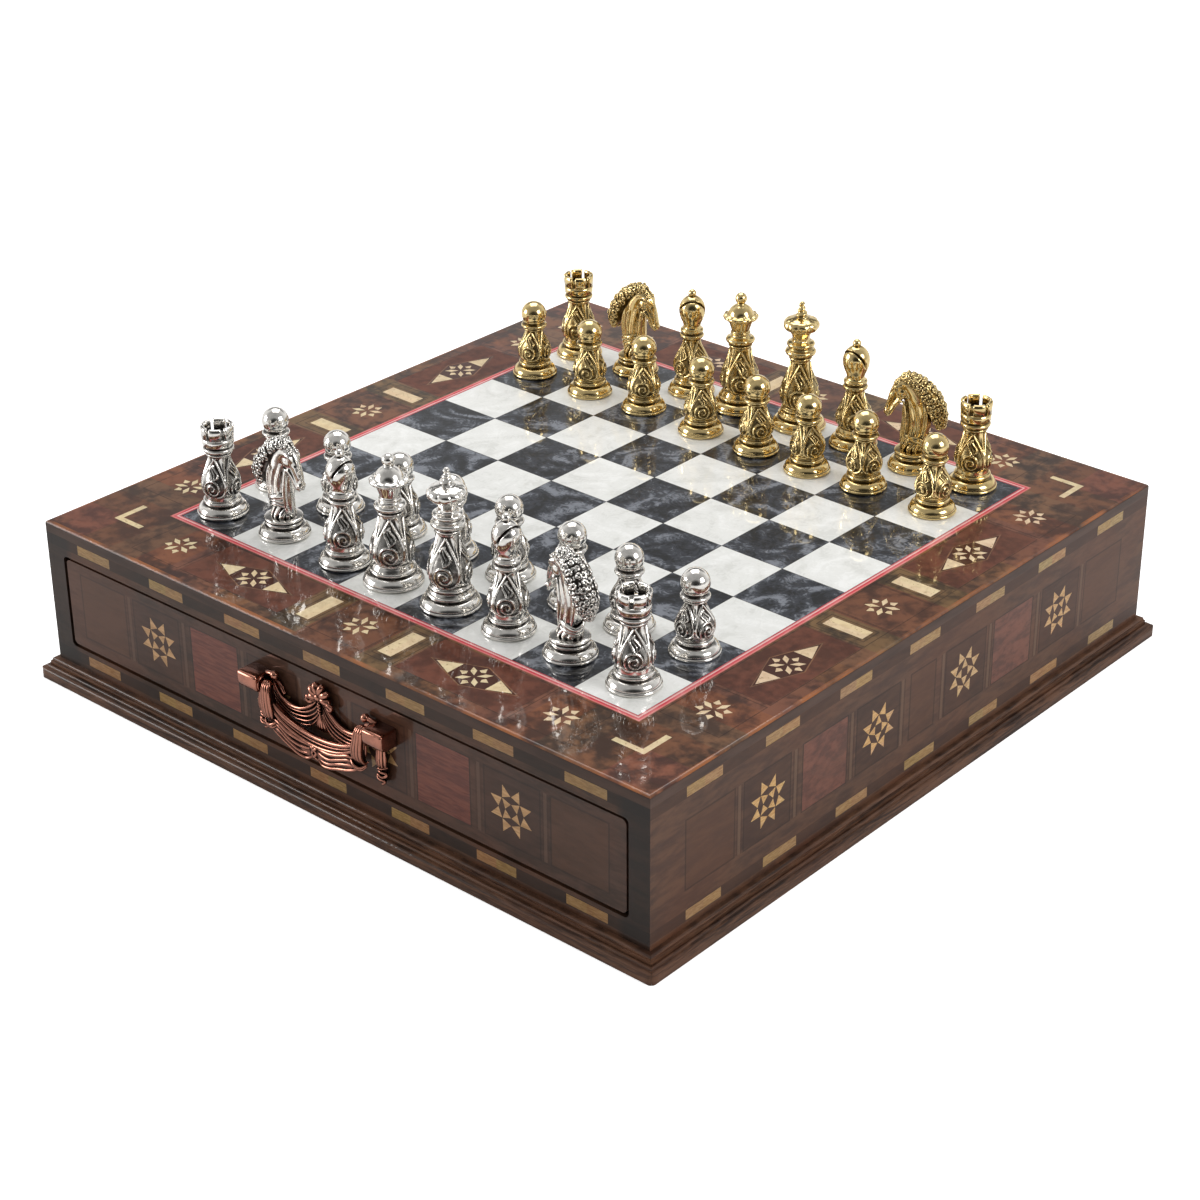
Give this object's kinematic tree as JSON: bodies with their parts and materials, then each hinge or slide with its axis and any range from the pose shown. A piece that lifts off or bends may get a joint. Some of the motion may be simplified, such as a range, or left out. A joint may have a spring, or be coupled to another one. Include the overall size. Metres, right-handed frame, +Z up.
{
  "type": "chess box with drawers",
  "caption": "Square wooden chess box with an inlaid playing board on top, a lined drawer with a drop handle at each end, and a set of metal chess pieces.",
  "frame": {"origin": "middle of the underside, on the table plane", "axes": "+Z up, -Y towards the front drawer, +X to the right of that drawer"},
  "size_m": [0.3174, 0.3216, 0.1234],
  "materials": {
    "dark_wood": "gloss lacquered walnut",
    "inner_wood": "plain sanded wood",
    "maple": "lacquered light inlay",
    "rosewood": "lacquered red veneer",
    "white_pearl": "polished white mother-of-pearl look",
    "black_pearl": "polished dark mother-of-pearl look",
    "red_line": "lacquered red line",
    "velvet": "wine-red velvet",
    "antique_copper": "antique copper plate",
    "steel": "zinc plated",
    "antique_silver": "antique silver plate",
    "antique_gold": "antique gold plate"
  },
  "bodies": {
    "cabinet": {"left_side": "dark_wood", "right_side": "dark_wood", "front_frame": "dark_wood", "rear_frame": "dark_wood", "partition": "inner_wood", "bottom_panel": "inner_wood", "drawer_guides": "inner_wood", "plinth_moulding": "dark_wood", "top_panel": "dark_wood", "light_squares": "white_pearl", "dark_squares": "black_pearl", "border_stringing": "red_line", "maple_inlays": "maple", "rosewood_inlays": "rosewood"},
    "front_drawer": {"front_drawer_face": "dark_wood", "front_drawer_inlays": "maple", "front_drawer_tray": "inner_wood", "front_drawer_lining": "velvet", "front_handle_plate": "antique_copper", "front_handle_screws": "steel"},
    "front_bail": {"front_handle_bail": "antique_copper"},
    "rear_drawer": {"rear_drawer_face": "dark_wood", "rear_drawer_inlays": "maple", "rear_drawer_tray": "inner_wood", "rear_drawer_lining": "velvet", "rear_handle_plate": "antique_copper", "rear_handle_screws": "steel"},
    "rear_bail": {"rear_handle_bail": "antique_copper"},
    "silver_pawn_a": {"silver_pawn_a": "antique_silver"},
    "silver_pawn_b": {"silver_pawn_b": "antique_silver"},
    "silver_pawn_c": {"silver_pawn_c": "antique_silver"},
    "silver_pawn_d": {"silver_pawn_d": "antique_silver"},
    "silver_pawn_e": {"silver_pawn_e": "antique_silver"},
    "silver_pawn_f": {"silver_pawn_f": "antique_silver"},
    "silver_pawn_g": {"silver_pawn_g": "antique_silver"},
    "silver_pawn_h": {"silver_pawn_h": "antique_silver"},
    "silver_rook_a": {"silver_rook_a": "antique_silver"},
    "silver_knight_b": {"silver_knight_b": "antique_silver"},
    "silver_bishop_c": {"silver_bishop_c": "antique_silver"},
    "silver_queen_d": {"silver_queen_d": "antique_silver"},
    "silver_king_e": {"silver_king_e": "antique_silver"},
    "silver_bishop_f": {"silver_bishop_f": "antique_silver"},
    "silver_knight_g": {"silver_knight_g": "antique_silver"},
    "silver_rook_h": {"silver_rook_h": "antique_silver"},
    "gold_pawn_a": {"gold_pawn_a": "antique_gold"},
    "gold_pawn_b": {"gold_pawn_b": "antique_gold"},
    "gold_pawn_c": {"gold_pawn_c": "antique_gold"},
    "gold_pawn_d": {"gold_pawn_d": "antique_gold"},
    "gold_pawn_e": {"gold_pawn_e": "antique_gold"},
    "gold_pawn_f": {"gold_pawn_f": "antique_gold"},
    "gold_pawn_g": {"gold_pawn_g": "antique_gold"},
    "gold_pawn_h": {"gold_pawn_h": "antique_gold"},
    "gold_rook_a": {"gold_rook_a": "antique_gold"},
    "gold_knight_b": {"gold_knight_b": "antique_gold"},
    "gold_bishop_c": {"gold_bishop_c": "antique_gold"},
    "gold_queen_d": {"gold_queen_d": "antique_gold"},
    "gold_king_e": {"gold_king_e": "antique_gold"},
    "gold_bishop_f": {"gold_bishop_f": "antique_gold"},
    "gold_knight_g": {"gold_knight_g": "antique_gold"},
    "gold_rook_h": {"gold_rook_h": "antique_gold"}
  },
  "joints": [
    {"name": "front_drawer_slide", "type": "slide", "parent": "cabinet", "child": "front_drawer", "axis": [0, -1, 0], "range_m": [0, 0.11]},
    {"name": "rear_drawer_slide", "type": "slide", "parent": "cabinet", "child": "rear_drawer", "axis": [0, 1, 0], "range_m": [0, 0.11]},
    {"name": "front_bail_hinge", "type": "hinge", "parent": "front_drawer", "child": "front_bail", "pos_m": [0, -0.1572, 0.045], "axis": [-1, 0, 0], "range_deg": [0, 95]},
    {"name": "rear_bail_hinge", "type": "hinge", "parent": "rear_drawer", "child": "rear_bail", "pos_m": [0, 0.1572, 0.045], "axis": [1, 0, 0], "range_deg": [0, 95]},
    {"name": "silver_pawn_a_lift", "type": "slide", "parent": "cabinet", "child": "silver_pawn_a", "axis": [0, 0, 1], "range_m": [0, 0.06]},
    {"name": "silver_pawn_b_lift", "type": "slide", "parent": "cabinet", "child": "silver_pawn_b", "axis": [0, 0, 1], "range_m": [0, 0.06]},
    {"name": "silver_pawn_c_lift", "type": "slide", "parent": "cabinet", "child": "silver_pawn_c", "axis": [0, 0, 1], "range_m": [0, 0.06]},
    {"name": "silver_pawn_d_lift", "type": "slide", "parent": "cabinet", "child": "silver_pawn_d", "axis": [0, 0, 1], "range_m": [0, 0.06]},
    {"name": "silver_pawn_e_lift", "type": "slide", "parent": "cabinet", "child": "silver_pawn_e", "axis": [0, 0, 1], "range_m": [0, 0.06]},
    {"name": "silver_pawn_f_lift", "type": "slide", "parent": "cabinet", "child": "silver_pawn_f", "axis": [0, 0, 1], "range_m": [0, 0.06]},
    {"name": "silver_pawn_g_lift", "type": "slide", "parent": "cabinet", "child": "silver_pawn_g", "axis": [0, 0, 1], "range_m": [0, 0.06]},
    {"name": "silver_pawn_h_lift", "type": "slide", "parent": "cabinet", "child": "silver_pawn_h", "axis": [0, 0, 1], "range_m": [0, 0.06]},
    {"name": "silver_rook_a_lift", "type": "slide", "parent": "cabinet", "child": "silver_rook_a", "axis": [0, 0, 1], "range_m": [0, 0.06]},
    {"name": "silver_knight_b_lift", "type": "slide", "parent": "cabinet", "child": "silver_knight_b", "axis": [0, 0, 1], "range_m": [0, 0.06]},
    {"name": "silver_bishop_c_lift", "type": "slide", "parent": "cabinet", "child": "silver_bishop_c", "axis": [0, 0, 1], "range_m": [0, 0.06]},
    {"name": "silver_queen_d_lift", "type": "slide", "parent": "cabinet", "child": "silver_queen_d", "axis": [0, 0, 1], "range_m": [0, 0.06]},
    {"name": "silver_king_e_lift", "type": "slide", "parent": "cabinet", "child": "silver_king_e", "axis": [0, 0, 1], "range_m": [0, 0.06]},
    {"name": "silver_bishop_f_lift", "type": "slide", "parent": "cabinet", "child": "silver_bishop_f", "axis": [0, 0, 1], "range_m": [0, 0.06]},
    {"name": "silver_knight_g_lift", "type": "slide", "parent": "cabinet", "child": "silver_knight_g", "axis": [0, 0, 1], "range_m": [0, 0.06]},
    {"name": "silver_rook_h_lift", "type": "slide", "parent": "cabinet", "child": "silver_rook_h", "axis": [0, 0, 1], "range_m": [0, 0.06]},
    {"name": "gold_pawn_a_lift", "type": "slide", "parent": "cabinet", "child": "gold_pawn_a", "axis": [0, 0, 1], "range_m": [0, 0.06]},
    {"name": "gold_pawn_b_lift", "type": "slide", "parent": "cabinet", "child": "gold_pawn_b", "axis": [0, 0, 1], "range_m": [0, 0.06]},
    {"name": "gold_pawn_c_lift", "type": "slide", "parent": "cabinet", "child": "gold_pawn_c", "axis": [0, 0, 1], "range_m": [0, 0.06]},
    {"name": "gold_pawn_d_lift", "type": "slide", "parent": "cabinet", "child": "gold_pawn_d", "axis": [0, 0, 1], "range_m": [0, 0.06]},
    {"name": "gold_pawn_e_lift", "type": "slide", "parent": "cabinet", "child": "gold_pawn_e", "axis": [0, 0, 1], "range_m": [0, 0.06]},
    {"name": "gold_pawn_f_lift", "type": "slide", "parent": "cabinet", "child": "gold_pawn_f", "axis": [0, 0, 1], "range_m": [0, 0.06]},
    {"name": "gold_pawn_g_lift", "type": "slide", "parent": "cabinet", "child": "gold_pawn_g", "axis": [0, 0, 1], "range_m": [0, 0.06]},
    {"name": "gold_pawn_h_lift", "type": "slide", "parent": "cabinet", "child": "gold_pawn_h", "axis": [0, 0, 1], "range_m": [0, 0.06]},
    {"name": "gold_rook_a_lift", "type": "slide", "parent": "cabinet", "child": "gold_rook_a", "axis": [0, 0, 1], "range_m": [0, 0.06]},
    {"name": "gold_knight_b_lift", "type": "slide", "parent": "cabinet", "child": "gold_knight_b", "axis": [0, 0, 1], "range_m": [0, 0.06]},
    {"name": "gold_bishop_c_lift", "type": "slide", "parent": "cabinet", "child": "gold_bishop_c", "axis": [0, 0, 1], "range_m": [0, 0.06]},
    {"name": "gold_queen_d_lift", "type": "slide", "parent": "cabinet", "child": "gold_queen_d", "axis": [0, 0, 1], "range_m": [0, 0.06]},
    {"name": "gold_king_e_lift", "type": "slide", "parent": "cabinet", "child": "gold_king_e", "axis": [0, 0, 1], "range_m": [0, 0.06]},
    {"name": "gold_bishop_f_lift", "type": "slide", "parent": "cabinet", "child": "gold_bishop_f", "axis": [0, 0, 1], "range_m": [0, 0.06]},
    {"name": "gold_knight_g_lift", "type": "slide", "parent": "cabinet", "child": "gold_knight_g", "axis": [0, 0, 1], "range_m": [0, 0.06]},
    {"name": "gold_rook_h_lift", "type": "slide", "parent": "cabinet", "child": "gold_rook_h", "axis": [0, 0, 1], "range_m": [0, 0.06]}
  ]
}
